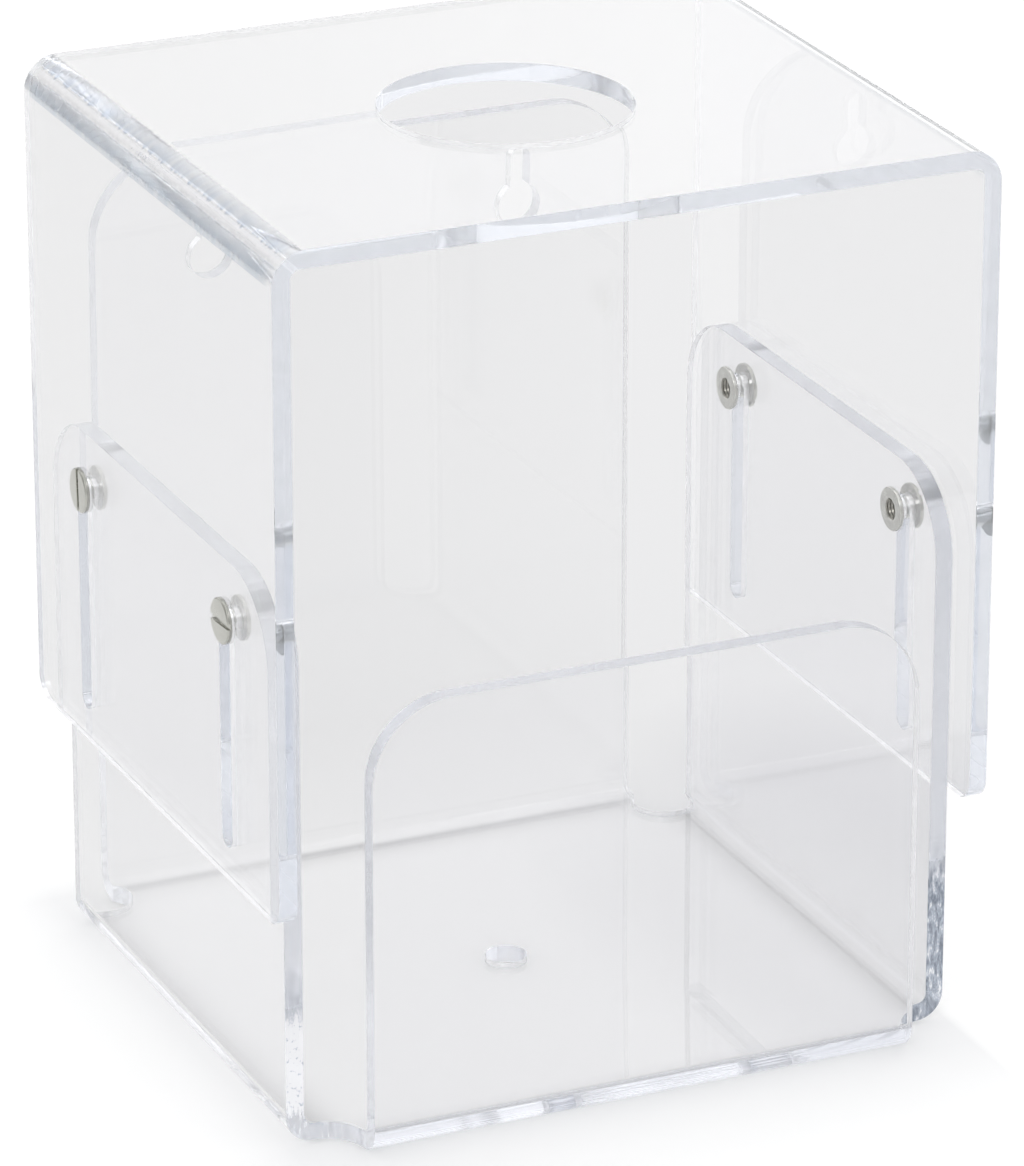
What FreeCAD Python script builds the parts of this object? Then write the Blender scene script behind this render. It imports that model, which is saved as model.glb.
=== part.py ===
"""Clear two-piece hand-out box: a folded acrylic tray, and a folded acrylic cover that lifts on it.

The tray is one cross-shaped blank with its four arms folded up: a low front lip, two side walls and a tall
back wall with keyholes. The cover is one strip folded to an upturned U, with a round hole in its top.
Four flanged posts pass through the side walls and run in the cover's upright slots, each closed by a
slotted screw.

Millimetres, +Z up, +Y to the back. The origin is on the table, under the middle of the tray.
"""
import FreeCAD, Part
import math
import os

V = FreeCAD.Vector

# Acrylic sheet and its folds, sharp inside; the cover's are stretched a little thinner than the sheet
SHEET = 4.0
FOLD_INNER_RADIUS = 2.0
TRAY_FOLD_RADIUS = 6.0
COVER_FOLD_RADIUS = 7.5

# Tray; the walls stop short of its corners by their setbacks
TRAY_DEPTH = 147.0
SIDE_WALL_SETBACK = 13.25
SIDE_WALL_HEIGHT = 122.0
SIDE_WALL_CORNER = 18.0
END_WALL_SETBACK = 14.0
END_WALL_CORNER = 18.0
LIP_HEIGHT = 99.6
BACK_HEIGHT = 169.4
NOTCH_RADIUS = 9.0
FLOOR_HOLE_DIAMETER = 9.0

# Round reliefs in the two back notches, their middles past the back wall's sides and the side walls' back ends
RELIEF_DIAMETER = 14.4
RELIEF_PAST_BACK_WALL = 5.1
RELIEF_PAST_SIDE_WALL = 1.25

# Keyholes in the back wall, their round holes this far below its top
KEYHOLE_SPACING = 71.0
KEYHOLE_DROP = 24.4
KEYHOLE_DIAMETER = 9.6
KEYHOLE_SLOT_WIDTH = 4.5
KEYHOLE_SLOT_RISE = 10.5

# Cover, a little shorter than the tray from front to back
COVER_WIDTH = 160.0
COVER_SETBACK = 5.25
COVER_SIDE_HEIGHT = 144.2
COVER_CORNER = 5.0
COVER_OFFSET = -0.8
SLIDE_GAP = 0.5
TOP_HOLE_DIAMETER = 53.4

# Upright slots in the cover's sides, and how far the cover lifts on them
LIFT = 47.0
SLOT_CLEARANCE = 0.3
SLOT_MARGIN = 7.5

# Flanged posts and their slotted screws; the posts, their slots and the round hole share one middle line
POST_MARGIN = 20.5
POST_OFFSET = -1.6
POST_DROP = 12.0
BARREL_DIAMETER = 5.0
BARREL_LENGTH = 8.75
BARREL_CLEARANCE = 0.1
HEAD_DIAMETER = 9.8
FLANGE_DIAMETER = 9.5
HEAD_THICKNESS = 1.0
HEAD_CHAMFER = 0.3
HEAD_STAND_OFF = 0.1
SEAT_CLEARANCE = 0.05
SHANK_DIAMETER = 3.9
SHANK_LENGTH = 7.0
SHANK_CLEARANCE = 0.08
SHANK_POINT = 0.4
SCREW_SLOT_WIDTH = 1.2
SCREW_SLOT_DEPTH = 0.55

# How far each screw's slot stands turned from upright, in degrees
SCREW_TURN = {"left_front": 94.0, "left_back": 3.0, "right_front": 35.0, "right_back": 120.0}

# Sizes that follow from the ones above
TRAY_WIDTH = COVER_WIDTH - 2 * (SHEET + SLIDE_GAP)
SIDE_WALL_LENGTH = TRAY_DEPTH - 2 * SIDE_WALL_SETBACK
END_WALL_WIDTH = TRAY_WIDTH - 2 * END_WALL_SETBACK
KEYHOLE_HEIGHT = BACK_HEIGHT - KEYHOLE_DROP
COVER_DEPTH = TRAY_DEPTH - 2 * COVER_SETBACK
POST_PITCH = SIDE_WALL_LENGTH - 2 * POST_MARGIN
POST_HEIGHT = SIDE_WALL_HEIGHT - POST_DROP
SLOT_RADIUS = BARREL_DIAMETER / 2 + SLOT_CLEARANCE
COVER_BOTTOM = POST_HEIGHT - LIFT - SLOT_RADIUS - SLOT_MARGIN
COVER_TOP = COVER_BOTTOM + COVER_SIDE_HEIGHT

# A cutter or a mask reaches this far past what it cuts
REACH = 2 * SHEET


def outline_face(points):
    """A face from a closed run of points; a pair (middle, end) in the run is an arc through both."""
    edges = []
    here = points[0]
    for step in points[1:] + points[:1]:
        if isinstance(step, tuple):
            middle, end = step
            edges.append(Part.Arc(here, middle, end).toShape())
        else:
            end = step
            edges.append(Part.LineSegment(here, end).toShape())
        here = end
    return Part.Face(Part.Wire(edges))


def arc_to(centre, radius, start_degrees, end_degrees, place):
    """The (middle, end) pair of an arc about a flat centre, each point put in space by place(u, v)."""
    pair = []
    for degrees in ((start_degrees + end_degrees) / 2, end_degrees):
        angle = math.radians(degrees)
        pair.append(place(centre[0] + radius * math.cos(angle), centre[1] + radius * math.sin(angle)))
    return tuple(pair)


def folded_channel(width, low_leg, high_leg, fold_radius, place):
    """The section of a sheet folded to a U of this outer width, floor at v = 0, legs up at both ends of u."""
    half = width / 2
    bend = half - fold_radius
    inner = half - SHEET
    inner_bend = inner - FOLD_INNER_RADIUS
    inner_rise = SHEET + FOLD_INNER_RADIUS
    return outline_face([
        place(-half, low_leg),
        place(-half, fold_radius),
        arc_to((-bend, fold_radius), fold_radius, 180, 270, place),
        place(bend, 0),
        arc_to((bend, fold_radius), fold_radius, 270, 360, place),
        place(half, high_leg),
        place(inner, high_leg),
        place(inner, inner_rise),
        arc_to((inner_bend, inner_rise), FOLD_INNER_RADIUS, 360, 270, place),
        place(-inner_bend, SHEET),
        arc_to((-inner_bend, inner_rise), FOLD_INNER_RADIUS, 270, 180, place),
        place(-inner, low_leg),
    ])


def arm_mask(half_arm, half_other, far, place):
    """The plan of one pair of the blank's arms, |v| <= half_arm, flared into the round notches beside them.

    The flare stops half way round each notch, where the other pair of arms takes over.
    """
    notch_u = half_other + NOTCH_RADIUS
    notch_v = half_arm + NOTCH_RADIUS
    flares = []
    quarters = ((-1, -1, 90, 45), (1, -1, 135, 90), (1, 1, 270, 225), (-1, 1, 315, 270))
    for u_sign, v_sign, start, end in quarters:
        centre = (u_sign * notch_u, v_sign * notch_v)
        first = math.radians(start)
        flares.append(place(centre[0] + NOTCH_RADIUS * math.cos(first),
                            centre[1] + NOTCH_RADIUS * math.sin(first)))
        flares.append(arc_to(centre, NOTCH_RADIUS, start, end, place))
    right_end = [place(far, -half_arm), place(far, half_arm)]
    left_end = [place(-far, half_arm), place(-far, -half_arm)]
    return outline_face(left_end + flares[:4] + right_end + flares[4:])


def edges_along(shape, direction, **at):
    """Straight edges of a shape that lie along a direction, with their middles at the given x, y or z."""
    found = []
    for edge in shape.Edges:
        if len(edge.Vertexes) != 2:
            continue
        run = edge.Vertexes[1].Point - edge.Vertexes[0].Point
        middle = (edge.Vertexes[1].Point + edge.Vertexes[0].Point) * 0.5
        lies_along = run.cross(direction).Length < 1e-6
        if lies_along and all(abs(abs(getattr(middle, axis)) - place) < 1e-6 for axis, place in at.items()):
            found.append(edge)
    return found


def rod(diameter, length, start, direction):
    return Part.makeCylinder(diameter / 2, length, start, direction)


def upright_slot(diameter, rise, start, direction, length):
    """A round-ended slot cutter: its lower arc is at start, its upper arc rise above that."""
    cutter = rod(diameter, length, start, direction)
    upper = rod(diameter, length, start + V(0, 0, rise), direction)
    across = V(0, 0, 1).cross(direction)
    side = across * (diameter / 2)
    flat = Part.makePolygon([start - side, start + side, start + side + V(0, 0, rise),
                             start - side + V(0, 0, rise), start - side])
    return cutter.fuse([upper, Part.Face(flat).extrude(direction * length)])


def post_places():
    """The four post axes as (name, side, y): side is -1 on the left and 1 on the right."""
    for side_name, side in (("left", -1), ("right", 1)):
        for end_name, end in (("front", -1), ("back", 1)):
            yield side_name + "_" + end_name, side, POST_OFFSET + end * POST_PITCH / 2


def make_tray():
    half_wall = SIDE_WALL_LENGTH / 2
    half_end = END_WALL_WIDTH / 2
    tallest = max(BACK_HEIGHT, SIDE_WALL_HEIGHT, LIP_HEIGHT) + REACH

    sides = folded_channel(TRAY_WIDTH, SIDE_WALL_HEIGHT, SIDE_WALL_HEIGHT, TRAY_FOLD_RADIUS,
                           lambda u, v: V(u, -TRAY_DEPTH / 2, v))
    sides = sides.extrude(V(0, TRAY_DEPTH, 0))
    side_plan = arm_mask(half_wall, half_end, TRAY_WIDTH / 2 + REACH, lambda u, v: V(u, v, -REACH))
    sides = sides.common(side_plan.extrude(V(0, 0, tallest + REACH)))
    top_corners = edges_along(sides, V(1, 0, 0), y=half_wall, z=SIDE_WALL_HEIGHT)
    sides = sides.makeFillet(SIDE_WALL_CORNER, top_corners)

    ends = folded_channel(TRAY_DEPTH, LIP_HEIGHT, BACK_HEIGHT, TRAY_FOLD_RADIUS,
                          lambda u, v: V(-TRAY_WIDTH / 2, u, v))
    ends = ends.extrude(V(TRAY_WIDTH, 0, 0))
    end_plan = arm_mask(half_end, half_wall, TRAY_DEPTH / 2 + REACH, lambda u, v: V(-v, u, -REACH))
    ends = ends.common(end_plan.extrude(V(0, 0, tallest + REACH)))
    for height in (LIP_HEIGHT, BACK_HEIGHT):
        ends = ends.makeFillet(END_WALL_CORNER, edges_along(ends, V(0, 1, 0), x=half_end, z=height))

    cutters = [rod(FLOOR_HOLE_DIAMETER, SHEET + 2 * REACH, V(0, 0, -REACH), V(0, 0, 1))]
    for x in (-half_end - RELIEF_PAST_BACK_WALL, half_end + RELIEF_PAST_BACK_WALL):
        start = V(x, half_wall + RELIEF_PAST_SIDE_WALL, -REACH)
        cutters.append(rod(RELIEF_DIAMETER, SHEET + FOLD_INNER_RADIUS + REACH, start, V(0, 0, 1)))
    for _, side, y in post_places():
        start = V(side * (TRAY_WIDTH / 2 - SHEET - REACH), y, POST_HEIGHT)
        hole = BARREL_DIAMETER + 2 * BARREL_CLEARANCE
        cutters.append(rod(hole, SHEET + 2 * REACH, start, V(side, 0, 0)))
    for x in (-KEYHOLE_SPACING / 2, KEYHOLE_SPACING / 2):
        start = V(x, TRAY_DEPTH / 2 - SHEET - REACH, KEYHOLE_HEIGHT)
        length = SHEET + 2 * REACH
        cutters.append(rod(KEYHOLE_DIAMETER, length, start, V(0, 1, 0)))
        cutters.append(upright_slot(KEYHOLE_SLOT_WIDTH, KEYHOLE_SLOT_RISE, start, V(0, 1, 0), length))
    return sides.fuse(ends).removeSplitter().cut(cutters)


def make_cover():
    section = folded_channel(COVER_WIDTH, COVER_SIDE_HEIGHT, COVER_SIDE_HEIGHT, COVER_FOLD_RADIUS,
                             lambda u, v: V(u, COVER_OFFSET - COVER_DEPTH / 2, COVER_TOP - v))
    cover = section.extrude(V(0, COVER_DEPTH, 0))
    cover = cover.makeFillet(COVER_CORNER, edges_along(cover, V(1, 0, 0), z=COVER_BOTTOM))
    hole_start = V(0, POST_OFFSET, COVER_TOP - SHEET - REACH)
    cutters = [rod(TOP_HOLE_DIAMETER, SHEET + 2 * REACH, hole_start, V(0, 0, 1))]
    for _, side, y in post_places():
        start = V(side * (COVER_WIDTH / 2 - SHEET - REACH), y, POST_HEIGHT - LIFT)
        cutters.append(upright_slot(2 * SLOT_RADIUS, LIFT, start, V(side, 0, 0), SHEET + 2 * REACH))
    return cover.cut(cutters)


def turned(points):
    """A solid turned about the X axis from its half section."""
    return outline_face(points).revolve(V(0, 0, 0), V(1, 0, 0), 360)


def in_section(x, radius):
    return V(x, radius, 0)


def make_post():
    """A tube with a flat round flange, turned about X: flange seat at x = 0, barrel along +X."""
    bore = SHANK_DIAMETER / 2 + SHANK_CLEARANCE
    barrel = BARREL_DIAMETER / 2
    rim = FLANGE_DIAMETER / 2
    return turned([
        in_section(BARREL_LENGTH, bore),
        in_section(BARREL_LENGTH, barrel),
        in_section(0, barrel),
        in_section(0, rim),
        in_section(-HEAD_THICKNESS + HEAD_CHAMFER, rim),
        in_section(-HEAD_THICKNESS, rim - HEAD_CHAMFER),
        in_section(-HEAD_THICKNESS, bore),
    ])


def make_screw():
    """A slotted screw turned about X: the head's seat is at x = 0, the shank runs to -X."""
    shank = SHANK_DIAMETER / 2
    rim = HEAD_DIAMETER / 2
    screw = turned([
        in_section(-SHANK_LENGTH, 0),
        in_section(-SHANK_LENGTH, shank - SHANK_POINT),
        in_section(-SHANK_LENGTH + SHANK_POINT, shank),
        in_section(0, shank),
        in_section(0, rim),
        in_section(HEAD_THICKNESS - HEAD_CHAMFER, rim),
        in_section(HEAD_THICKNESS, rim - HEAD_CHAMFER),
        in_section(HEAD_THICKNESS, 0),
    ])
    corner = V(HEAD_THICKNESS - SCREW_SLOT_DEPTH, -SCREW_SLOT_WIDTH / 2, -HEAD_DIAMETER)
    return screw.cut(Part.makeBox(HEAD_THICKNESS, SCREW_SLOT_WIDTH, 2 * HEAD_DIAMETER, corner))


def put_on_side(shape, side, outward, y, turn=0.0):
    """A turned piece moved to a post axis, this far out from the middle, its +X facing out of the box."""
    placed = shape.copy()
    placed.rotate(V(0, 0, 0), V(1, 0, 0), turn)
    if side < 0:
        placed.rotate(V(0, 0, 0), V(0, 0, 1), 180)
    placed.translate(V(side * outward, y, POST_HEIGHT))
    return placed


def main():
    head_seat = COVER_WIDTH / 2 + HEAD_STAND_OFF
    flange_seat = head_seat - SEAT_CLEARANCE - BARREL_LENGTH
    nodes = {"base_tray": make_tray(), "sliding_cover": make_cover()}
    post = make_post()
    screw = make_screw()
    for name, side, y in post_places():
        nodes["post_" + name] = put_on_side(post, side, flange_seat, y)
        nodes["screw_" + name] = put_on_side(screw, side, head_seat, y, SCREW_TURN[name])

    os.makedirs("parts", exist_ok=True)
    for node, shape in nodes.items():
        if not shape.isValid() or len(shape.Solids) != 1:
            raise ValueError(node + " is not one sound solid")
        shape.exportStep("parts/" + node + ".step")
        box = shape.BoundBox
        print(f"{node}: {shape.Volume:.1f} mm3, x {box.XMin:.2f} to {box.XMax:.2f}, "
              f"y {box.YMin:.2f} to {box.YMax:.2f}, z {box.ZMin:.2f} to {box.ZMax:.2f}")


main()
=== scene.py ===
"""Looks of the clear two-piece hand-out box: folded acrylic sheets, nickel-plated posts and screws.

Both sheets are made here as the real ones are: a flat blank is cut out, its edges are broken, and its arms
are folded. Lengths are in millimetres until a mesh is finished, and +Y is the back of the box.
"""

import math

import bmesh
import bpy
from mathutils import Matrix, Vector


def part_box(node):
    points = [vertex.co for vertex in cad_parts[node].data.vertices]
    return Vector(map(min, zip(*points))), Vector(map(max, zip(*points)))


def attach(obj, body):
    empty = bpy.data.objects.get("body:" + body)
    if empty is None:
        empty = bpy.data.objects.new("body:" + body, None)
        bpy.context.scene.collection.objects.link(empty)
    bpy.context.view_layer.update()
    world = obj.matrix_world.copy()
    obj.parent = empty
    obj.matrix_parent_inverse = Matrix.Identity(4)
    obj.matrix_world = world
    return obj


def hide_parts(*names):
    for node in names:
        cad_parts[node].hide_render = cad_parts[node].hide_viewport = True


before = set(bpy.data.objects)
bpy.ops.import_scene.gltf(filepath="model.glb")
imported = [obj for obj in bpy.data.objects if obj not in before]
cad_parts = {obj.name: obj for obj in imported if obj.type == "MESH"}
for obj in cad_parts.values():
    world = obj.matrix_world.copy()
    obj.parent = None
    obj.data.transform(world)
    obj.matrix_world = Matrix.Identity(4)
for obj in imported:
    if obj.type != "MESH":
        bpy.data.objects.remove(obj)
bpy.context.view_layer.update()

MM = 0.001


def box_mm(node):
    """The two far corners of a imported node's box, in millimetres."""
    return [Vector(corner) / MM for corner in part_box(node)]


# ---------------------------------------------------------------- sizes
# Acrylic sheet and its folds, sharp inside; the cover's folds are made as thick as the sheet, though the real ones are
# stretched a little thinner
SHEET = 4.0
FOLD_INNER = 2.0
TRAY_FOLD = 6.0
COVER_FOLD = 7.5
FOLD_STEPS = 40
EDGE_BREAK = 0.1

# Tray, from its packed box; its walls stop short of the corners
TRAY_HIGH = box_mm("base_tray")[1]
TRAY_HALF_WIDTH = TRAY_HIGH.x
TRAY_HALF_DEPTH = TRAY_HIGH.y
SIDE_WALL_HALF = TRAY_HALF_DEPTH - 13.25
SIDE_WALL_HEIGHT = 122.0
END_WALL_HALF = TRAY_HALF_WIDTH - 14.0
LIP_HEIGHT = 99.6
BACK_HEIGHT = TRAY_HIGH.z
WALL_CORNER = 18.0
NOTCH_RADIUS = 9.0
RELIEF_RADIUS = 7.2
RELIEF_PAST_BACK = 5.1
RELIEF_PAST_SIDE = 1.25
RELIEF_MIDDLE = Vector((END_WALL_HALF + RELIEF_PAST_BACK, SIDE_WALL_HALF + RELIEF_PAST_SIDE, 0))
FLOOR_HOLE_RADIUS = 4.5
KEYHOLE_HALF_SPACING = 35.5
KEYHOLE_HEIGHT = BACK_HEIGHT - 24.4
KEYHOLE_RADIUS = 4.8
KEYHOLE_SLOT_HALF = 2.25
KEYHOLE_SLOT_RISE = 10.5

# Cover, from its packed box
COVER_LOW, COVER_HIGH = box_mm("sliding_cover")
COVER_HALF_WIDTH = COVER_HIGH.x
COVER_HEIGHT = COVER_HIGH.z - COVER_LOW.z
COVER_CORNER = 5.0
TOP_HOLE_RADIUS = 26.7
LIFT = 47.0
COVER_SLOT_HALF = 2.8

# Posts, from their packed boxes
POST_SPOTS = ("left_front", "left_back", "right_front", "right_back")
FRONT_POST = sum(box_mm("post_left_front"), Vector()) / 2
BACK_POST = sum(box_mm("post_left_back"), Vector()) / 2
POST_HEIGHT = FRONT_POST.z
POST_MIDDLE = (FRONT_POST.y + BACK_POST.y) / 2
POST_HALF_PITCH = (BACK_POST.y - FRONT_POST.y) / 2
POST_HOLE_RADIUS = 2.6
POST_LENGTH = box_mm("post_right_front")[1].x - box_mm("post_right_front")[0].x
FLANGE_RADIUS = (box_mm("post_right_front")[1].z - box_mm("post_right_front")[0].z) / 2
FLANGE_THICKNESS = 1.0
BARREL_RADIUS = 2.5
BORE_RADIUS = 2.03
BORE_MOUTH = 0.4
THREAD_PITCH = 0.7
THREAD_DEPTH = 0.25
POST_EDGE_ROUND = 0.28
SCREW_EDGE_ROUND = 0.08

# How finely the rounds are cut
CORNER_STEPS = 20
RELIEF_STEPS = 48
ARC_STEP_DEGREES = 9
FLOOR_HOLE_STEPS = 48
POST_HOLE_STEPS = 40
TOP_HOLE_STEPS = 144
POST_STEPS = 72
POST_ROUND_STEPS = 4
SCREW_ROUND_STEPS = 3

# Faces that meet at a wider angle than this keep a sharp edge
SHARP_ANGLE = math.radians(30)
# A post's edges are rounded where its faces meet at a wider angle than this
TURNED_ANGLE = math.radians(50)
# A screw's packed faces that meet at a smaller angle than this are one
FLAT_ANGLE = math.radians(2)
# Points nearer to each other than MERGE are one, and points nearer to a cut than CUT_SNAP lie on it
MERGE = 1e-3
CUT_SNAP = 1e-5

# A sheet's materials, in the order of its mesh's slots: its face, its edge, its folds' outside, a plain cut edge
FACE, EDGE, FOLD, CUT = range(4)


# ---------------------------------------------------------------- nodes and colours
def linear(code):
    """A colour's sRGB hex code as linear red, green, blue and alpha."""
    channels = [int(code[place:place + 2], 16) / 255 for place in (1, 3, 5)]
    return [c / 12.92 if c <= 0.04045 else ((c + 0.055) / 1.055) ** 2.4 for c in channels] + [1.0]


def add(tree, kind, inputs=(), **settings):
    """A node with its settings; each input is a value, or the output socket that it is linked to."""
    made = tree.nodes.new("ShaderNode" + kind)
    for name, value in settings.items():
        setattr(made, name, value)
    for socket, value in dict(inputs).items():
        if isinstance(value, bpy.types.NodeSocket):
            tree.links.new(value, made.inputs[socket])
        else:
            made.inputs[socket].default_value = value
    return made


def set_stops(ramp, stops):
    """Gives a colour ramp its stops, each a place from 0 to 1 and a hex code."""
    while len(ramp.elements) < len(stops):
        ramp.elements.new(1.0)
    for element, (place, code) in zip(ramp.elements, stops):
        element.position = place
        element.color = linear(code)


def new_material(name):
    """A new material, and its node tree with no nodes in it."""
    material = bpy.data.materials.new(name)
    material.use_nodes = True
    material.node_tree.nodes.clear()
    return material, material.node_tree


# ---------------------------------------------------------------- materials
ACRYLIC_IOR = 1.49


def let_lamps_through(tree, glass, shade):
    """Finishes clear acrylic: lamps shine through it, weakened to this shade at each face."""
    clear = add(tree, "BsdfTransparent", {"Color": linear(shade)})
    path = add(tree, "LightPath")
    lit = add(tree, "Math", {0: path.outputs["Is Shadow Ray"], 1: path.outputs["Is Diffuse Ray"]},
              operation="MAXIMUM")
    surface = add(tree, "MixShader", {0: lit.outputs[0], 1: glass.outputs[0], 2: clear.outputs[0]})
    add(tree, "OutputMaterial", {"Surface": surface.outputs[0]})


def make_sheet_face():
    """Cast acrylic sheet, its polished face: as clear as glass."""
    material, tree = new_material("cast_acrylic_face")
    glass = add(tree, "BsdfPrincipled", {
        "Base Color": linear("#FCFCFD"), "Roughness": 0.0, "IOR": ACRYLIC_IOR, "Transmission Weight": 1.0})
    let_lamps_through(tree, glass, "#FCFCFC")
    return material


def make_tray_fold():
    """Cast acrylic where the lip was heated and folded: a lilac-grey tint along the bend, a painted sheen."""
    material, tree = new_material("cast_acrylic_line_bent_painted_sheen")
    glass = add(tree, "BsdfPrincipled", {
        "Base Color": linear("#DDE0E8"), "Roughness": 0.03, "IOR": ACRYLIC_IOR, "Transmission Weight": 1.0})
    let_lamps_through(tree, glass, "#F0F1F2")
    return material


def make_polished_edge():
    """Cast acrylic, sawn and flame-polished: clear, with a thin milky veil and the flame's shallow waves."""
    material, tree = new_material("cast_acrylic_polished_edge")
    place = add(tree, "TexCoord").outputs["Object"]
    waves = add(tree, "TexNoise", {"Vector": place, "Scale": 1 / (5 * MM), "Detail": 1.0}).outputs[0]
    veil = add(tree, "MapRange", {"Value": waves, "From Min": 0.3, "From Max": 0.7,
                                  "To Min": 0.92, "To Max": 0.84}).outputs[0]
    bump = add(tree, "Bump", {"Height": waves, "Strength": 0.03, "Distance": 0.2 * MM}).outputs[0]
    glass = add(tree, "BsdfPrincipled", {
        "Base Color": linear("#ECEFF5"), "Roughness": 0.06, "IOR": ACRYLIC_IOR,
        "Transmission Weight": veil, "Normal": bump})
    let_lamps_through(tree, glass, "#D8DADC")
    return material


# Up to these heights over the board the side walls' front edges are bent, crazed and darkened, in millimetres: where
# each begins to fade, and where it is gone
BENT_FADE = (5, 8)
CRAZED_FADE = (27, 29)
DARK_FADE = (30, 43)


def make_satin_edge():
    """Cast acrylic, laser-cut and left: a soft lilac-grey satin.

    Low on the side walls' front edges the cut is crazed under a darker patch of mottled blue-grey, twice as strong
    on the right wall as on the left: white with faint specks on the left wall, mottled blue-grey with long white
    flecks on the right one. At the fold's foot it is mottled blue-grey again.
    """
    material, tree = new_material("cast_acrylic_laser_cut_edge")
    place = add(tree, "TexCoord").outputs["Object"]
    axes = add(tree, "SeparateXYZ", {0: place})
    front = add(tree, "MapRange", {"Value": axes.outputs["Y"], "From Min": -44 * MM, "From Max": -48 * MM}).outputs[0]
    out = add(tree, "Math", {0: axes.outputs["X"]}, operation="ABSOLUTE").outputs[0]
    wall = add(tree, "MapRange", {"Value": out, "From Min": (END_WALL_HALF + 1) * MM,
                                  "From Max": (END_WALL_HALF + 4) * MM}).outputs[0]
    wall = add(tree, "Math", {0: front, 1: wall}, operation="MULTIPLY").outputs[0]
    right = add(tree, "Math", {0: axes.outputs["X"], 1: 0.0}, operation="GREATER_THAN").outputs[0]
    strong = add(tree, "MapRange", {"Value": right, "To Min": 0.5, "To Max": 1.0}).outputs[0]

    drawn = add(tree, "Mapping", {"Vector": place, "Scale": (1, 1, 0.3)}).outputs[0]
    flecks = add(tree, "TexNoise", {"Vector": drawn, "Scale": 1 / (0.8 * MM), "Detail": 3.0,
                                    "Roughness": 0.7}).outputs[0]
    ragged = add(tree, "MapRange", {"Value": flecks, "From Min": 0.3, "From Max": 0.7,
                                    "To Min": -3 * MM, "To Max": 3 * MM}).outputs[0]
    height = add(tree, "Math", {0: axes.outputs["Z"], 1: ragged}, operation="ADD").outputs[0]
    patches = []
    for full, gone, weight in ((*DARK_FADE, strong), (*CRAZED_FADE, 1.0), (*BENT_FADE, strong)):
        low = add(tree, "MapRange", {"Value": height, "From Min": gone * MM, "From Max": full * MM}).outputs[0]
        low = add(tree, "Math", {0: low, 1: wall}, operation="MULTIPLY").outputs[0]
        patches.append(add(tree, "Math", {0: low, 1: weight}, operation="MULTIPLY").outputs[0])
    dark, crazed, bent = patches

    mottle = add(tree, "ValToRGB", {0: flecks})
    set_stops(mottle.color_ramp, ((0.38, "#5C6573"), (0.48, "#8791A0"), (0.58, "#A9B1BD"), (0.66, "#F2F4F8")))
    specks = add(tree, "TexNoise", {"Vector": place, "Scale": 1 / (0.8 * MM), "Detail": 2.0}).outputs[0]
    speck = add(tree, "MapRange", {"Value": specks, "From Min": 0.60, "From Max": 0.72}).outputs[0]
    white = add(tree, "Mix", {0: speck, 6: linear("#FBFBFE"), 7: linear("#B9C0CE")}, data_type="RGBA").outputs[2]
    side = add(tree, "Mix", {0: right, 6: white, 7: mottle.outputs[0]}, data_type="RGBA").outputs[2]
    colour = add(tree, "Mix", {0: dark, 6: linear("#E7E9EF"), 7: mottle.outputs[0]}, data_type="RGBA").outputs[2]
    colour = add(tree, "Mix", {0: crazed, 6: colour, 7: side}, data_type="RGBA").outputs[2]
    colour = add(tree, "Mix", {0: bent, 6: colour, 7: mottle.outputs[0]}, data_type="RGBA").outputs[2]
    veil = add(tree, "MapRange", {"Value": dark, "To Min": 0.88, "To Max": 0.45}).outputs[0]
    veil = add(tree, "Mix", {"Factor": bent, "A": veil, "B": 0.8}).outputs[0]
    dent = add(tree, "Math", {0: dark, 1: flecks}, operation="MULTIPLY").outputs[0]
    bump = add(tree, "Bump", {"Height": dent, "Strength": 0.3, "Distance": 0.3 * MM}).outputs[0]
    glass = add(tree, "BsdfPrincipled", {
        "Base Color": colour, "Roughness": 0.22, "IOR": ACRYLIC_IOR, "Transmission Weight": veil, "Normal": bump})
    let_lamps_through(tree, glass, "#D8DADC")
    return material


# The painted reflection bands in the cover's folds fade between these distances from its front and back edges, in
# millimetres
BAND_FADE = (2, 6)


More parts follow.
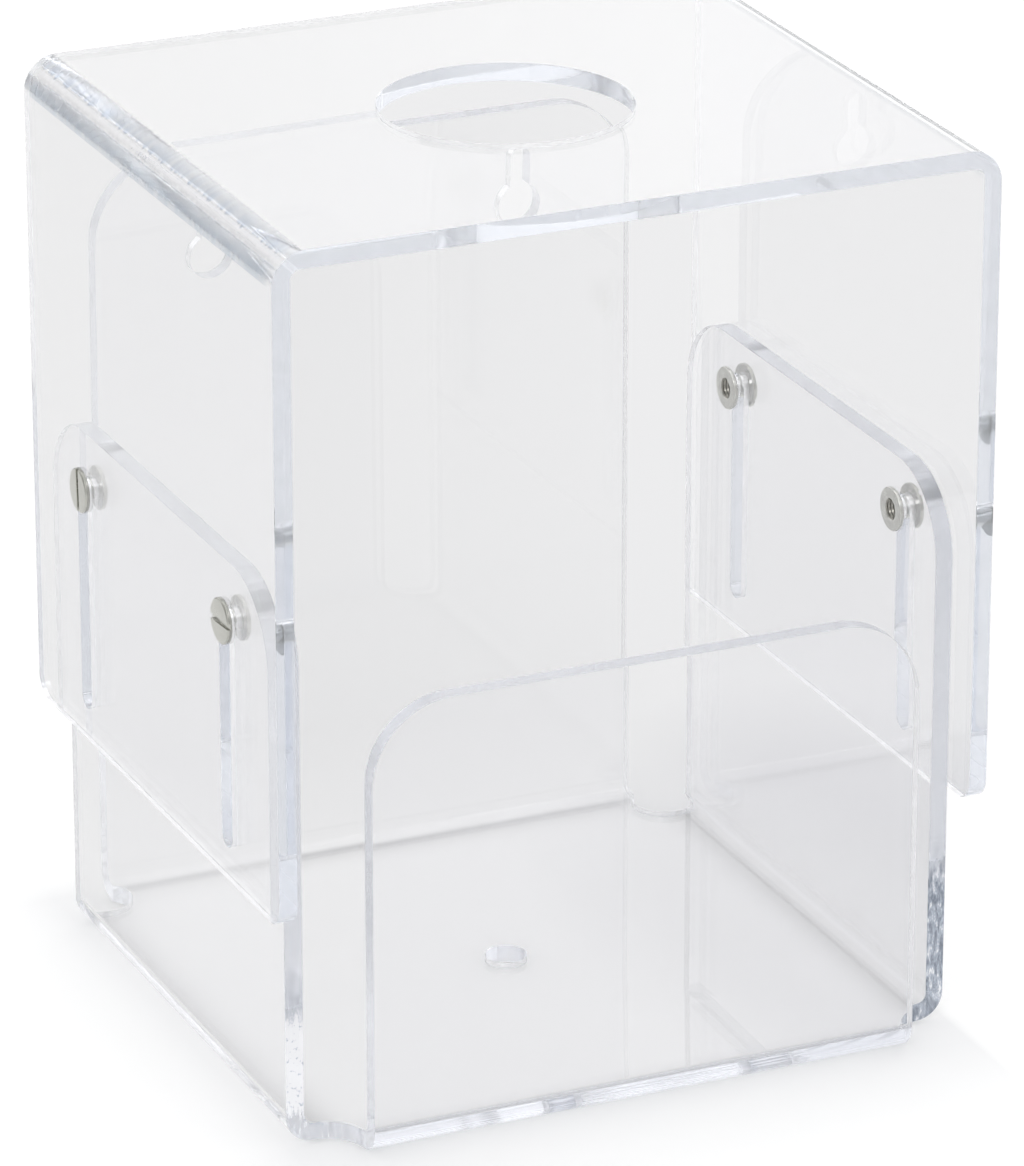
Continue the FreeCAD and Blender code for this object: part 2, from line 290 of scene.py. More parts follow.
def make_fold_face():
    """Cast acrylic where the cover was heated and folded: fine ripples in its surface, under two blue-grey bands with
    white lines between them, painted reflections of the room's darker and brighter parts in the bend.

    The left fold shows the painted bands clearly, and the right one faintly.
    """
    material, tree = new_material("cast_acrylic_folded_painted_reflections")
    place = add(tree, "TexCoord").outputs["Object"]
    axes = add(tree, "SeparateXYZ", {0: place})
    out = add(tree, "Math", {0: axes.outputs["X"]}, operation="ABSOLUTE").outputs[0]
    out = add(tree, "Math", {0: out, 1: (COVER_HALF_WIDTH - COVER_FOLD) * MM}, operation="SUBTRACT").outputs[0]
    rise = add(tree, "Math", {0: axes.outputs["Z"], 1: (COVER_HIGH.z - COVER_FOLD) * MM}, operation="SUBTRACT")
    turn = add(tree, "Math", {0: out, 1: rise.outputs[0]}, operation="ARCTAN2").outputs[0]

    across = add(tree, "Mapping", {"Vector": place, "Scale": (45, 560, 45), "Rotation": (0, 0, 0.1)}).outputs[0]
    ripple = add(tree, "TexNoise", {"Vector": across, "Scale": 1.0, "Detail": 2.0, "Roughness": 0.6}).outputs[0]
    ragged = add(tree, "MapRange", {"Value": ripple, "From Min": 0.3, "From Max": 0.7,
                                    "To Min": -0.06, "To Max": 0.06}).outputs[0]
    part = add(tree, "MapRange", {"Value": turn, "From Max": math.pi / 2}).outputs[0]
    part = add(tree, "Math", {0: part, 1: ragged}, operation="ADD").outputs[0]
    # painted reflections: the bands' blue-greys and white lines stand for the room mirrored in the bend
    bands = add(tree, "ValToRGB", {0: part})
    set_stops(bands.color_ramp, (
        (0.04, "#FFFFFF"), (0.12, "#F2F6FC"), (0.19, "#E6EDF8"), (0.26, "#CAD6E8"), (0.33, "#AFBDD3"),
        (0.385, "#A6B3C6"), (0.42, "#FDFDFF"), (0.50, "#F3F3F5"), (0.57, "#DDDDE0"), (0.64, "#FFFFFF"),
        (0.70, "#F0F4F8"), (0.76, "#BDCAD6"), (0.90, "#B6C3D1"), (1.00, "#A4B0BE")))

    upper = add(tree, "MapRange", {"Value": part, "From Min": 0.32, "From Max": 0.42,
                                   "To Min": 0.95, "To Max": 0.4}).outputs[0]
    streaks = add(tree, "MapRange", {"Value": ripple, "From Min": 0.4, "From Max": 0.6, "To Max": upper}).outputs[0]
    # the right fold's painted reflections are fainter
    faint = add(tree, "MapRange", {"Value": axes.outputs["X"], "To Max": 0.8, "From Max": 1 * MM}).outputs[0]
    bare = add(tree, "Math", {0: streaks, 1: faint}, operation="MAXIMUM").outputs[0]
    gone, full = BAND_FADE
    for edge, inward in ((COVER_LOW.y, 1), (COVER_HIGH.y, -1)):
        near = add(tree, "MapRange", {"Value": axes.outputs["Y"], "From Min": (edge + inward * full) * MM,
                                      "From Max": (edge + inward * gone) * MM}).outputs[0]
        bare = add(tree, "Math", {0: bare, 1: near}, operation="MAXIMUM").outputs[0]
    tint = add(tree, "Mix", {0: bare, 6: bands.outputs[0], 7: linear("#FBFCFD")}, data_type="RGBA").outputs[2]
    bump = add(tree, "Bump", {"Height": ripple, "Strength": 0.15, "Distance": 0.2 * MM}).outputs[0]
    glass = add(tree, "BsdfPrincipled", {
        "Base Color": tint, "Roughness": 0.02, "IOR": ACRYLIC_IOR, "Transmission Weight": 1.0, "Normal": bump})
    let_lamps_through(tree, glass, "#F0F1F2")
    return material


def make_nickel(name, dull, bright, bore_shade_radius):
    """Nickel-plated steel, turned: a soft silver mirror with fine rings about each post's own axis.

    Inside the bore's radius it is painted darker, a painted shade in the bore.
    """
    material, tree = new_material(name)
    place = add(tree, "TexCoord").outputs["Object"]
    axes = add(tree, "SeparateXYZ", {0: place})
    along = add(tree, "Math", {0: axes.outputs["Y"], 1: POST_MIDDLE * MM}, operation="SUBTRACT").outputs[0]
    along = add(tree, "Math", {0: along}, operation="ABSOLUTE").outputs[0]
    along = add(tree, "Math", {0: along, 1: POST_HALF_PITCH * MM}, operation="SUBTRACT").outputs[0]
    up = add(tree, "Math", {0: axes.outputs["Z"], 1: POST_HEIGHT * MM}, operation="SUBTRACT").outputs[0]
    spoke = add(tree, "CombineXYZ", {"X": along, "Y": up}).outputs[0]
    radius = add(tree, "VectorMath", {0: spoke}, operation="LENGTH").outputs["Value"]
    rings = add(tree, "TexNoise", {"W": radius, "Scale": 1 / (0.35 * MM), "Detail": 3.0},
                noise_dimensions="1D").outputs[0]
    smears = add(tree, "TexNoise", {"Vector": place, "Scale": 1 / (2.5 * MM), "Detail": 4.0}).outputs[0]
    wear = add(tree, "Math", {0: rings, 1: smears}, operation="ADD").outputs[0]
    rough = add(tree, "MapRange", {"Value": wear, "From Min": 0.7, "From Max": 1.3,
                                   "To Min": 0.14, "To Max": 0.30}).outputs[0]
    colour = add(tree, "Mix", {0: smears, 6: linear(dull), 7: linear(bright)}, data_type="RGBA").outputs[2]
    # painted shade: the metal is painted darker inside the bore's radius
    within = add(tree, "MapRange", {"Value": radius, "From Min": (bore_shade_radius + 0.1) * MM,
                                    "From Max": bore_shade_radius * MM}).outputs[0]
    colour = add(tree, "Mix", {0: within, 6: colour, 7: linear("#A09E97")}, data_type="RGBA").outputs[2]
    bump = add(tree, "Bump", {"Height": rings, "Strength": 0.15, "Distance": 0.03 * MM}).outputs[0]
    metal = add(tree, "BsdfPrincipled", {
        "Base Color": colour, "Metallic": 1.0, "Roughness": rough, "Normal": bump})
    add(tree, "OutputMaterial", {"Surface": metal.outputs[0]})
    return material


# ---------------------------------------------------------------- folded sheets
def inner_run(fold):
    """How long a fold is on its inside: two flats and a quarter round."""
    return 2 * (fold - SHEET - FOLD_INNER) + FOLD_INNER * math.pi / 2


def fold_length(fold):
    """How much of the flat blank a fold takes up, half way through the sheet."""
    return (fold * math.pi / 2 + inner_run(fold)) / 2


def unrolled(face, height, fold):
    """How far from the middle of the flat blank a wall's point lies: the wall's outer face, its height."""
    return face - fold + fold_length(fold) + height - fold


def cut_outline(bm, corners):
    """A flat outline through corners of (x, y, radius), each corner rounded."""
    points = [bm.verts.new((x, y, 0)) for x, y, _ in corners]
    bm.faces.new(points)
    for radius in {radius for _, _, radius in corners if radius}:
        rounded = [point for point, (_, _, size) in zip(points, corners) if size == radius]
        bmesh.ops.bevel(bm, geom=rounded, offset=radius, offset_type="OFFSET", affect="VERTICES",
                        segments=CORNER_STEPS, profile=0.5, material=-1)
    bmesh.ops.delete(bm, geom=bm.faces[:], context="FACES_ONLY")


def cut_relief(bm, side):
    """The straight cut across a back notch becomes a round relief that frees the folds."""
    middle = Vector((side * RELIEF_MIDDLE.x, RELIEF_MIDDLE.y, 0))
    ends = [point for point in bm.verts if abs((point.co - middle).length - RELIEF_RADIUS) < MERGE]
    begin, end = sorted(ends, key=lambda point: point.co.y)
    bm.edges.remove(bm.edges.get((begin, end)))
    turn = math.pi + math.acos(RELIEF_PAST_BACK / RELIEF_RADIUS) - math.asin(RELIEF_PAST_SIDE / RELIEF_RADIUS)
    bmesh.ops.spin(bm, geom=[begin], cent=middle, axis=(0, 0, -side), angle=turn, steps=RELIEF_STEPS)
    bmesh.ops.remove_doubles(bm, verts=bm.verts[:], dist=MERGE)


def cut_round(bm, x, y, radius, steps):
    """A round hole's outline."""
    bmesh.ops.create_circle(bm, radius=radius, segments=steps, matrix=Matrix.Translation((x, y, 0)))


def cut_arcs(bm, *arcs):
    """A closed cut-out of arcs, each (start, centre, degrees) and turned clockwise, joined by straight cuts."""
    first = last = None
    for start, centre, degrees in arcs:
        begin = bm.verts.new((*start, 0))
        if last:
            bm.edges.new((last, begin))
        else:
            first = begin
        swept = bmesh.ops.spin(bm, geom=[begin], cent=(*centre, 0), axis=(0, 0, -1),
                               angle=math.radians(degrees), steps=round(degrees / ARC_STEP_DEGREES))
        last = next(v for v in swept["geom_last"] if isinstance(v, bmesh.types.BMVert))
    bm.edges.new((last, first))


def thicken_blank(bm):
    """The outline and its cut-outs filled, made SHEET thick, and their sharp edges broken."""
    bmesh.ops.triangle_fill(bm, use_beauty=True, edges=bm.edges[:], normal=(0, 0, 1))
    bmesh.ops.inset_region(bm, faces=bm.faces[:], thickness=EDGE_BREAK, use_boundary=True, use_even_offset=True)
    raised = bmesh.ops.extrude_face_region(bm, geom=bm.faces[:], use_keep_orig=True)
    bmesh.ops.translate(bm, vec=(0, 0, SHEET), verts=[v for v in raised["geom"] if isinstance(v, bmesh.types.BMVert)])
    bmesh.ops.recalc_face_normals(bm, faces=bm.faces[:])
    rim = {v for face in bm.faces if abs(face.normal.z) < 0.5 for v in face.verts}
    for point in rim:
        point.co.z += EDGE_BREAK if point.co.z < SHEET / 2 else -EDGE_BREAK
    bm.normal_update()
    for face in bm.faces:
        face.material_index = EDGE if abs(face.normal.z) < 0.9 else FACE


def fold_arm(bm, along, face, fold):
    """Folds up the arm that points along a unit vector, so that its outer face stands this far from the middle.

    The outside bends to a round of radius fold, and the inside to two flats and a smaller round.
    """
    start = face - fold
    length = fold_length(fold)
    flat = fold - SHEET - FOLD_INNER
    for step in range(FOLD_STEPS + 1):
        bmesh.ops.bisect_plane(bm, geom=bm.verts[:] + bm.edges[:] + bm.faces[:], dist=CUT_SNAP,
                               plane_co=along * (start + length * step / FOLD_STEPS), plane_no=along)
    for point in bm.verts:
        past = point.co.dot(along) - start
        if past <= 0:
            continue
        share = min(past / length, 1.0)
        turn = share * math.pi / 2
        outside = Vector((fold * math.sin(turn), fold * (1 - math.cos(turn))))
        run = share * inner_run(fold)
        turn = min(max((run - flat) / FOLD_INNER, 0), math.pi / 2)
        inside = Vector((min(run, flat) + FOLD_INNER * math.sin(turn),
                         SHEET + FOLD_INNER * (1 - math.cos(turn)) + max(run - flat - FOLD_INNER * math.pi / 2, 0)))
        bent = outside.lerp(inside, point.co.z / SHEET)
        point.co += along * (bent.x - past)
        point.co.z = bent.y + past - share * length


def finish_piece(bm, name, materials, body, node):
    """The bmesh as a finished piece: in metres, riding on a body and standing for its CAD node."""
    bmesh.ops.scale(bm, vec=(MM, MM, MM), verts=bm.verts[:])
    bmesh.ops.recalc_face_normals(bm, faces=bm.faces[:])
    mesh = bpy.data.meshes.new(name)
    bm.to_mesh(mesh)
    bm.free()
    mesh.shade_smooth()
    mesh.set_sharp_from_angle(angle=SHARP_ANGLE)
    for material in materials:
        mesh.materials.append(material)
    piece = bpy.data.objects.new(name, mesh)
    bpy.context.scene.collection.objects.link(piece)
    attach(piece, body)
    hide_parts(node)


def make_tray(materials):
    """The cross-shaped blank with its four arms folded up."""
    bm = bmesh.new()
    side_tip = unrolled(TRAY_HALF_WIDTH, SIDE_WALL_HEIGHT, TRAY_FOLD)
    lip_tip = unrolled(TRAY_HALF_DEPTH, LIP_HEIGHT, TRAY_FOLD)
    back_tip = unrolled(TRAY_HALF_DEPTH, BACK_HEIGHT, TRAY_FOLD)
    relief_x = RELIEF_MIDDLE.x + math.sqrt(RELIEF_RADIUS ** 2 - RELIEF_PAST_SIDE ** 2)
    relief_y = RELIEF_MIDDLE.y + math.sqrt(RELIEF_RADIUS ** 2 - RELIEF_PAST_BACK ** 2)
    cut_outline(bm, [
        (END_WALL_HALF, -lip_tip, WALL_CORNER), (END_WALL_HALF, -SIDE_WALL_HALF, NOTCH_RADIUS),
        (side_tip, -SIDE_WALL_HALF, WALL_CORNER), (side_tip, SIDE_WALL_HALF, WALL_CORNER),
        (relief_x, SIDE_WALL_HALF, 0), (END_WALL_HALF, relief_y, 0), (END_WALL_HALF, back_tip, WALL_CORNER),
        (-END_WALL_HALF, back_tip, WALL_CORNER), (-END_WALL_HALF, relief_y, 0), (-relief_x, SIDE_WALL_HALF, 0),
        (-side_tip, SIDE_WALL_HALF, WALL_CORNER), (-side_tip, -SIDE_WALL_HALF, WALL_CORNER),
        (-END_WALL_HALF, -SIDE_WALL_HALF, NOTCH_RADIUS), (-END_WALL_HALF, -lip_tip, WALL_CORNER)])
    for side in (1, -1):
        cut_relief(bm, side)
    cut_round(bm, 0, 0, FLOOR_HOLE_RADIUS, FLOOR_HOLE_STEPS)
    post_row = unrolled(TRAY_HALF_WIDTH, POST_HEIGHT, TRAY_FOLD)
    for side in (-1, 1):
        for end in (-1, 1):
            cut_round(bm, side * post_row, POST_MIDDLE + end * POST_HALF_PITCH, POST_HOLE_RADIUS,
                      POST_HOLE_STEPS)
    keyhole_row = unrolled(TRAY_HALF_DEPTH, KEYHOLE_HEIGHT, TRAY_FOLD)
    mouth = math.asin(KEYHOLE_SLOT_HALF / KEYHOLE_RADIUS)
    for x in (-KEYHOLE_HALF_SPACING, KEYHOLE_HALF_SPACING):
        slot_top = keyhole_row + KEYHOLE_SLOT_RISE
        cut_arcs(bm,
                 ((x + KEYHOLE_SLOT_HALF, keyhole_row + KEYHOLE_RADIUS * math.cos(mouth)), (x, keyhole_row),
                  360 - 2 * math.degrees(mouth)),
                 ((x - KEYHOLE_SLOT_HALF, slot_top), (x, slot_top), 180))
    thicken_blank(bm)
    for along, face in ((Vector((1, 0, 0)), TRAY_HALF_WIDTH), (Vector((-1, 0, 0)), TRAY_HALF_WIDTH),
                        (Vector((0, 1, 0)), TRAY_HALF_DEPTH), (Vector((0, -1, 0)), TRAY_HALF_DEPTH)):
        fold_arm(bm, along, face, TRAY_FOLD)
    bm.normal_update()
    for face in bm.faces:
        middle = face.calc_center_median()
        past = TRAY_FOLD - TRAY_HALF_DEPTH - middle.y
        outside = math.hypot(past, TRAY_FOLD - middle.z) > TRAY_FOLD - 1
        # the outside of the lip's fold takes the painted sheen
        if face.material_index == FACE and outside and past > 0 and middle.z < TRAY_FOLD:
            face.material_index = FOLD
    finish_piece(bm, "tray_sheet", materials, "tray", "base_tray")


def make_cover(materials):
    """The strip blank folded to a U, then turned over and set on its height."""
    bm = bmesh.new()
    tip = unrolled(COVER_HALF_WIDTH, COVER_HEIGHT, COVER_FOLD)
    cut_outline(bm, [(side * tip, y, COVER_CORNER) for side, y in
                     ((1, COVER_LOW.y), (1, COVER_HIGH.y), (-1, COVER_HIGH.y), (-1, COVER_LOW.y))])
    cut_round(bm, 0, POST_MIDDLE, TOP_HOLE_RADIUS, TOP_HOLE_STEPS)
    near = unrolled(COVER_HALF_WIDTH, COVER_HIGH.z - POST_HEIGHT, COVER_FOLD)
    for side in (-1, 1):
        for end in (-1, 1):
            y = POST_MIDDLE + end * POST_HALF_PITCH
            inner, outer = sorted((side * near, side * (near + LIFT)))
            cut_arcs(bm, ((inner, y - COVER_SLOT_HALF), (inner, y), 180),
                     ((outer, y + COVER_SLOT_HALF), (outer, y), 180))
    thicken_blank(bm)
    for along in (Vector((1, 0, 0)), Vector((-1, 0, 0))):
        fold_arm(bm, along, COVER_HALF_WIDTH, COVER_FOLD)
    bmesh.ops.rotate(bm, cent=(0, 0, 0), matrix=Matrix.Rotation(math.pi, 3, "Y"), verts=bm.verts[:])
    bmesh.ops.translate(bm, vec=(0, 0, COVER_HIGH.z), verts=bm.verts[:])
    bm.normal_update()
    for face in bm.faces:
        middle = face.calc_center_median()
        out = abs(middle.x) - COVER_HALF_WIDTH + COVER_FOLD
        rise = middle.z - COVER_HIGH.z + COVER_FOLD
        outside = math.hypot(out, rise) > COVER_FOLD - 1
        # the outside of the cover's folds takes the painted reflection bands
        if face.material_index == FACE and outside and out > 0 and rise > 0:
            face.material_index = FOLD
        if face.material_index == EDGE and middle.z < COVER_LOW.z + COVER_CORNER and abs(face.normal.y) < 0.7:
            face.material_index = CUT
    finish_piece(bm, "cover_sheet", materials, "cover", "sliding_cover")


# ---------------------------------------------------------------- posts and screws
def make_post(spot, materials):
    """A turned post: a flanged barrel with a countersunk, threaded bore, flange inside the box."""
    bm = bmesh.new()
    profile = [(0, BORE_RADIUS + BORE_MOUTH), (0, FLANGE_RADIUS), (FLANGE_THICKNESS, FLANGE_RADIUS),
               (FLANGE_THICKNESS, BARREL_RADIUS), (POST_LENGTH, BARREL_RADIUS), (POST_LENGTH, BORE_RADIUS)]
    turns = int((POST_LENGTH - 2 * BORE_MOUTH) / THREAD_PITCH)
    for turn in range(turns, 0, -1):
        profile.append((BORE_MOUTH + turn * THREAD_PITCH, BORE_RADIUS))
        profile.append((BORE_MOUTH + (turn - 0.5) * THREAD_PITCH, BORE_RADIUS + THREAD_DEPTH))
    profile.append((BORE_MOUTH, BORE_RADIUS))
    points = [bm.verts.new((x, radius, 0)) for x, radius in profile]
    for point, following in zip(points, points[1:] + points[:1]):
        bm.edges.new((point, following))
    bmesh.ops.spin(bm, geom=bm.verts[:] + bm.edges[:], cent=(0, 0, 0), axis=(1, 0, 0), angle=2 * math.pi,
                   steps=POST_STEPS, use_merge=True)
    bmesh.ops.remove_doubles(bm, verts=bm.verts[:], dist=MERGE)
    bmesh.ops.recalc_face_normals(bm, faces=bm.faces[:])
    outer = [edge for edge in bm.edges if edge.calc_face_angle(0) > TURNED_ANGLE
             and min(math.hypot(v.co.y, v.co.z) for v in edge.verts) > BORE_RADIUS + THREAD_DEPTH + 0.1]
    bmesh.ops.bevel(bm, geom=outer, offset=POST_EDGE_ROUND, offset_type="OFFSET", affect="EDGES",
                    segments=POST_ROUND_STEPS, profile=0.5, material=-1, clamp_overlap=True)
    low, high = box_mm("post_" + spot)
    if low.x < 0:
        bmesh.ops.rotate(bm, cent=(0, 0, 0), matrix=Matrix.Rotation(math.pi, 3, "Z"), verts=bm.verts[:])
    inner_x = high.x if low.x < 0 else low.x
    bmesh.ops.translate(bm, vec=(inner_x, (low.y + high.y) / 2, (low.z + high.z) / 2), verts=bm.verts[:])
    finish_piece(bm, "post_" + spot + "_plated", materials, "post_" + spot, "post_" + spot)


def make_screw(spot, materials):
    """A slotted screw: its CAD shape, merged, with its sharp edges rounded."""
    bm = bmesh.new()
    bm.from_mesh(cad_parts["screw_" + spot].data)
    bmesh.ops.scale(bm, vec=(1 / MM, 1 / MM, 1 / MM), verts=bm.verts[:])
    bmesh.ops.remove_doubles(bm, verts=bm.verts[:], dist=MERGE)
    bmesh.ops.dissolve_limit(bm, angle_limit=FLAT_ANGLE, verts=bm.verts[:], edges=bm.edges[:])
    sharp = [edge for edge in bm.edges if edge.calc_face_angle(0) > SHARP_ANGLE]
    bmesh.ops.bevel(bm, geom=sharp, offset=SCREW_EDGE_ROUND, offset_type="OFFSET", affect="EDGES",
                    segments=SCREW_ROUND_STEPS, profile=0.5, material=-1, clamp_overlap=True)
    finish_piece(bm, "screw_" + spot + "_plated", materials, "screw_" + spot, "screw_" + spot)


# ---------------------------------------------------------------- floor, light and camera
CAMERA_AZIMUTH = math.radians(-24.14)
CAMERA_ELEVATION = math.radians(21.96)
CAMERA_DISTANCE = 1.5317
CAMERA_TARGET = Vector((0.0017, -0.0010, 0.0898))
CAMERA_SENSOR = 36.0
CAMERA_LENS = 7243 / 1024 * CAMERA_SENSOR

# Light that runs along inside a sheet turns back at its faces this many times at most
LIGHT_BOUNCES = 128

# The board lies this far under the tray, so that their faces don't meet
FLOOR_GAP = 0.1
FLOOR_RADIUS = 0.95
FLOOR_STEPS = 96

# Soft ovals of painted shade on the board, and a painted lighter one under the box, in metres: each one's middle
# and half size
BEHIND_MIDDLE, BEHIND_HALF_SIZE = (0.1595, 0.356), (0.105, 0.300)
UNDER_MIDDLE, UNDER_HALF_SIZE = (0.0, 0.0), (0.14, 0.14)
BESIDE_MIDDLE, BESIDE_HALF_SIZE = (0.110, 0.042), (0.055, 0.085)
INSIDE_MIDDLE, INSIDE_HALF_SIZE = (0.068, -0.012), (0.055, 0.105)

# The soft shadow around the tray: where each side's begins and how far it reaches past it, in millimetres
AROUND = (("X", -TRAY_HALF_WIDTH, -26), ("X", TRAY_HALF_WIDTH, 4), ("Y", -TRAY_HALF_DEPTH, -56),
          ("Y", TRAY_HALF_DEPTH, 20))
AROUND_POWER = 2.0

# A fold lifts off the board this far inside its wall's outer face, and its shadow is gone at these, in millimetres
CONTACT_LINE = 6.5
CONTACT_INNER = 17
CONTACT_OUTER = 4
CONTACT_POWER = 2.4
# The lip's shadow is this share of the back wall's
LIP_CONTACT = 0.55

# The lamp near the camera: where it stands, how wide it looks and how strong it is
LAMP_AZIMUTH = math.radians(-42)
LAMP_ELEVATION = math.radians(40)
LAMP_ANGLE = math.radians(30)
LAMP_STRENGTH = 0.5

# The room's lights, between these heights of a direction, from 0 at the horizon to 1 overhead. The white paper behind
# the box keeps a share of its light under and over its heights
PAPER_LOW = (0.09, 0.16)
PAPER_HIGH = (0.44, 0.50)
PAPER_SHARE_UNDER = 0.6
PAPER_SHARE_OVER = 0.72
PAPER_STRENGTH = 1.42
CEILING = (0.80, 0.87)
CEILING_STRENGTH = 1.75
WALL_STRENGTH_FRONT = 0.95
WALL_STRENGTH_BACK = 0.4


def direction(azimuth, elevation):
    """Unit vector from the object towards a viewer at this azimuth, 0 at the front, and elevation."""
    return Vector((math.sin(azimuth) * math.cos(elevation), -math.cos(azimuth) * math.cos(elevation),
                   math.sin(elevation)))


def place_camera():
    """The photo's camera, as a pinhole fitted to the box's edges."""
    data = bpy.data.cameras.new("photo_camera")
    data.sensor_fit = "HORIZONTAL"
    data.sensor_width = CAMERA_SENSOR
    data.lens = CAMERA_LENS
    data.clip_end = 50
    camera = bpy.data.objects.new("photo_camera", data)
    back = direction(CAMERA_AZIMUTH, CAMERA_ELEVATION)
    camera.location = CAMERA_TARGET + back * CAMERA_DISTANCE
    camera.rotation_euler = back.to_track_quat("Z", "Y").to_euler()
    bpy.context.scene.collection.objects.link(camera)
    bpy.context.scene.camera = camera


def contact(tree, across, face, along, end):
    """How near the board is to the line where a fold lifts off it: 1 on that line, 0 well away from it."""
    across = add(tree, "Math", {0: across}, operation="ABSOLUTE").outputs[0]
    inside = add(tree, "Math", {0: face * MM, 1: across}, operation="SUBTRACT").outputs[0]
    under = add(tree, "MapRange", {"Value": inside, "From Min": CONTACT_INNER * MM,
                                   "From Max": CONTACT_LINE * MM}).outputs[0]
    under = add(tree, "Math", {0: under, 1: CONTACT_POWER}, operation="POWER").outputs[0]
    beyond = add(tree, "MapRange", {"Value": inside, "From Min": CONTACT_OUTER * MM,
                                    "From Max": CONTACT_LINE * MM}).outputs[0]
    near = add(tree, "Math", {0: under, 1: beyond}, operation="MULTIPLY").outputs[0]
    along = add(tree, "Math", {0: along}, operation="ABSOLUTE").outputs[0]
    within = add(tree, "MapRange", {"Value": along, "From Min": (end + 2) * MM, "From Max": (end - 4) * MM}).outputs[0]
    return add(tree, "Math", {0: near, 1: within}, operation="MULTIPLY").outputs[0]


def oval(tree, place, middle, half_size, rim, turn=0.0):
    """An oval mask for painted shade and painted light on the board: 1 in its middle, and down to 0 over this
    outer share of it.
    """
    spot = add(tree, "Mapping", {"Vector": place, "Location": (*middle, 0), "Rotation": (0, 0, turn),
                                 "Scale": (*half_size, 1)}, vector_type="TEXTURE").outputs[0]
    fall = add(tree, "TexGradient", {0: spot}, gradient_type="SPHERICAL").outputs[1]
    return add(tree, "MapRange", {"Value": fall, "From Max": rim}).outputs[0]


def lay_floor():
    """A matt white board. Its painted shades stand for the soft shadows that the box throws on it.

    Seen directly it is white, but for painted shadows around and behind the box. Seen through the sheets it is a
    greyer painted shade, graded across the view, painted lighter under the box and darker beside it and under its
    right half, and dark in painted contact shadows in the thin lines where the folds lift off it.
    """
    bm = bmesh.new()
    bmesh.ops.create_circle(bm, cap_ends=True, radius=FLOOR_RADIUS, segments=FLOOR_STEPS)
    mesh = bpy.data.meshes.new("studio_floor")
    bm.to_mesh(mesh)
    bm.free()
    material, tree = new_material("matt_white_board")
    path = add(tree, "LightPath")
    place = add(tree, "TexCoord").outputs["Object"]
    axes = add(tree, "SeparateXYZ", {0: place}).outputs
    # painted shadow behind the box, on the board seen directly
    behind = oval(tree, place, BEHIND_MIDDLE, BEHIND_HALF_SIZE, 0.15, CAMERA_AZIMUTH)
    direct = add(tree, "Mix", {0: behind, 6: linear("#FEFEFE"), 7: linear("#E4E4E5")}, data_type="RGBA").outputs[2]
    # painted soft shadow around the tray
    around = 1.0
    for axis, edge, reach in AROUND:
        near = add(tree, "MapRange", {"Value": axes[axis], "From Min": (edge + reach) * MM,
                                      "From Max": edge * MM}).outputs[0]
        around = add(tree, "Math", {0: around, 1: near}, operation="MULTIPLY").outputs[0]
    around = add(tree, "Math", {0: around, 1: AROUND_POWER}, operation="POWER").outputs[0]
    direct = add(tree, "Mix", {0: around, 6: direct, 7: linear("#F2F2F3")}, data_type="RGBA").outputs[2]
    # seen through the sheets: a greyer painted shade, graded across the view
    turned = add(tree, "Mapping", {"Vector": place, "Rotation": (0, 0, CAMERA_AZIMUTH)}, vector_type="TEXTURE")
    across = add(tree, "SeparateXYZ", {0: turned.outputs[0]}).outputs["X"]
    across = add(tree, "MapRange", {"Value": across, "From Min": -0.09, "From Max": 0.06}).outputs[0]
    through = add(tree, "Mix", {0: across, 6: linear("#DFDFDF"), 7: linear("#E7E7E7")}, data_type="RGBA").outputs[2]
    # painted ovals: lighter under the box, painted shadows beside it and under its right half
    for middle, half_size, rim, shade in (
            (UNDER_MIDDLE, UNDER_HALF_SIZE, 0.5, "#EAEAEA"), (BESIDE_MIDDLE, BESIDE_HALF_SIZE, 0.6, "#D8D8DA"),
            (INSIDE_MIDDLE, INSIDE_HALF_SIZE, 0.5, "#E0E0E1")):
        within = oval(tree, place, middle, half_size, rim)
        through = add(tree, "Mix", {0: within, 6: through, 7: linear(shade)}, data_type="RGBA").outputs[2]
    tone = add(tree, "Mix", {0: path.outputs["Is Transmission Ray"], 6: direct, 7: through},
               data_type="RGBA").outputs[2]
    # painted contact shadows in the thin lines where the folds lift off the board
    sides = contact(tree, axes["X"], TRAY_HALF_WIDTH, axes["Y"], SIDE_WALL_HALF)
    ends = contact(tree, axes["Y"], TRAY_HALF_DEPTH, axes["X"], END_WALL_HALF)
    back = add(tree, "MapRange", {"Value": axes["Y"], "From Min": -40 * MM, "From Max": 40 * MM,
                                  "To Min": LIP_CONTACT}).outputs[0]
    ends = add(tree, "Math", {0: ends, 1: back}, operation="MULTIPLY").outputs[0]
    dark = add(tree, "Math", {0: sides, 1: ends}, operation="MAXIMUM").outputs[0]
    tone = add(tree, "Mix", {0: dark, 6: tone, 7: linear("#BEBEBF")}, data_type="RGBA").outputs[2]
    paint = add(tree, "BsdfDiffuse", {"Color": tone})
    add(tree, "OutputMaterial", {"Surface": paint.outputs[0]})
    mesh.materials.append(material)
    floor = bpy.data.objects.new("studio_floor", mesh)
    mesh.transform(Matrix.Translation((0, 0, -FLOOR_GAP * MM)))
    bpy.context.scene.collection.objects.link(floor)


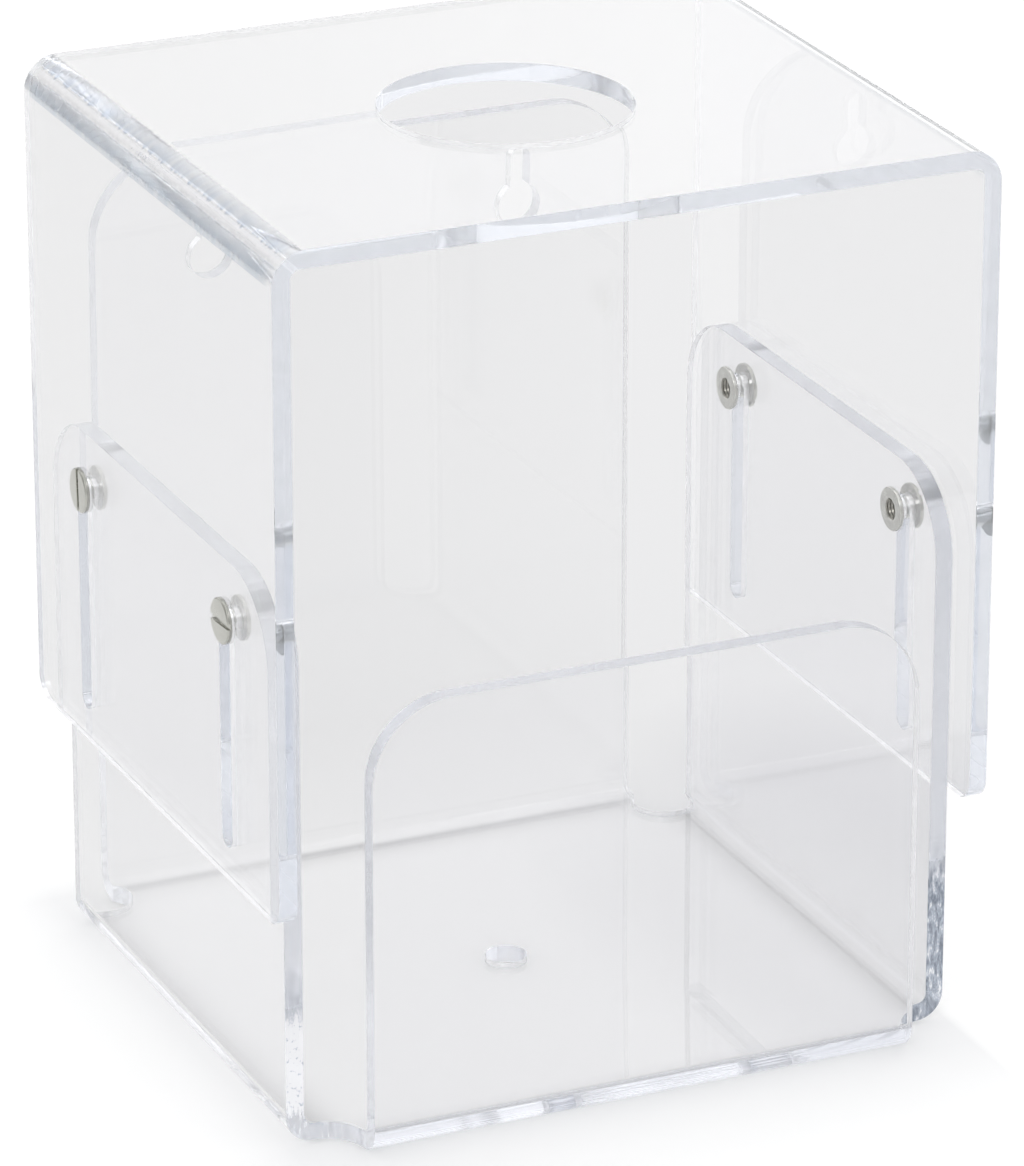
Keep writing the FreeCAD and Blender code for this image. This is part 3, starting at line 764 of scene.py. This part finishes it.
def light_studio():
    """A soft lamp near the camera in a dim room, with white paper behind the box and a wide lamp over it."""
    lamp = bpy.data.lights.new("front_lamp", "SUN")
    lamp.energy = LAMP_STRENGTH
    lamp.angle = LAMP_ANGLE
    holder = bpy.data.objects.new("front_lamp", lamp)
    holder.rotation_euler = direction(LAMP_AZIMUTH, LAMP_ELEVATION).to_track_quat("Z", "Y").to_euler()
    bpy.context.scene.collection.objects.link(holder)

    world = bpy.data.worlds.new("studio_room")
    world.use_nodes = True
    tree = world.node_tree
    tree.nodes.clear()
    # a direction's Z tells how high it points, and its Y how far it points to the back
    look = add(tree, "SeparateXYZ", {0: add(tree, "TexCoord").outputs["Generated"]})
    up, back = look.outputs["Z"], look.outputs["Y"]
    above = add(tree, "MapRange", {"Value": up, "From Min": PAPER_LOW[0], "From Max": PAPER_LOW[1],
                                   "To Min": PAPER_SHARE_UNDER}).outputs[0]
    below = add(tree, "MapRange", {"Value": up, "From Min": PAPER_HIGH[1], "From Max": PAPER_HIGH[0],
                                   "To Min": PAPER_SHARE_OVER}).outputs[0]
    behind = add(tree, "MapRange", {"Value": back, "From Min": 0.1, "From Max": 0.4,
                                    "To Max": PAPER_STRENGTH}).outputs[0]
    paper = add(tree, "Math", {0: above, 1: below}, operation="MULTIPLY").outputs[0]
    paper = add(tree, "Math", {0: paper, 1: behind}, operation="MULTIPLY").outputs[0]
    ceiling = add(tree, "MapRange", {"Value": up, "From Min": CEILING[0], "From Max": CEILING[1],
                                     "To Max": CEILING_STRENGTH}).outputs[0]
    walls = add(tree, "MapRange", {"Value": back, "From Min": -0.3, "From Max": 0.3,
                                   "To Min": WALL_STRENGTH_FRONT, "To Max": WALL_STRENGTH_BACK}).outputs[0]
    lit = add(tree, "Math", {0: paper, 1: ceiling}, operation="ADD").outputs[0]
    lit = add(tree, "Math", {0: lit, 1: walls}, operation="MAXIMUM").outputs[0]
    path = add(tree, "LightPath")
    seen = add(tree, "Mix", {"Factor": path.outputs["Is Camera Ray"], "A": lit, "B": 1.0})
    room = add(tree, "Background", {"Strength": seen.outputs[0]})
    add(tree, "OutputWorld", {"Surface": room.outputs[0]})
    bpy.context.scene.world = world


def set_render():
    """Plain colours, and enough bounces for light that runs along inside the sheets."""
    scene = bpy.context.scene
    scene.view_settings.view_transform = "Standard"
    scene.cycles.max_bounces = LIGHT_BOUNCES
    scene.cycles.transmission_bounces = LIGHT_BOUNCES
    scene.cycles.glossy_bounces = LIGHT_BOUNCES
    scene.cycles.transparent_max_bounces = LIGHT_BOUNCES
    scene.cycles.caustics_reflective = False
    scene.cycles.caustics_refractive = False


def main():
    """Dresses every node, then lays the stage around the part."""
    face = make_sheet_face()
    post_nickel = [make_nickel("nickel_plate_turned_post", "#C0C0BC", "#D8D8D4", BORE_RADIUS + BORE_MOUTH / 2)]
    # the screws' nickel is painted darker than the posts', a painted shade on the heads
    screw_nickel_painted_darker = [make_nickel("nickel_plate_turned_screw_painted_shade", "#A7A7A1", "#BDBDB7", -1.0)]
    satin_edge = make_satin_edge()
    make_tray([face, satin_edge, make_tray_fold()])
    make_cover([face, make_polished_edge(), make_fold_face(), satin_edge])
    for spot in POST_SPOTS:
        make_post(spot, post_nickel)
        make_screw(spot, screw_nickel_painted_darker)
    lay_floor()
    light_studio()
    place_camera()
    set_render()


main()
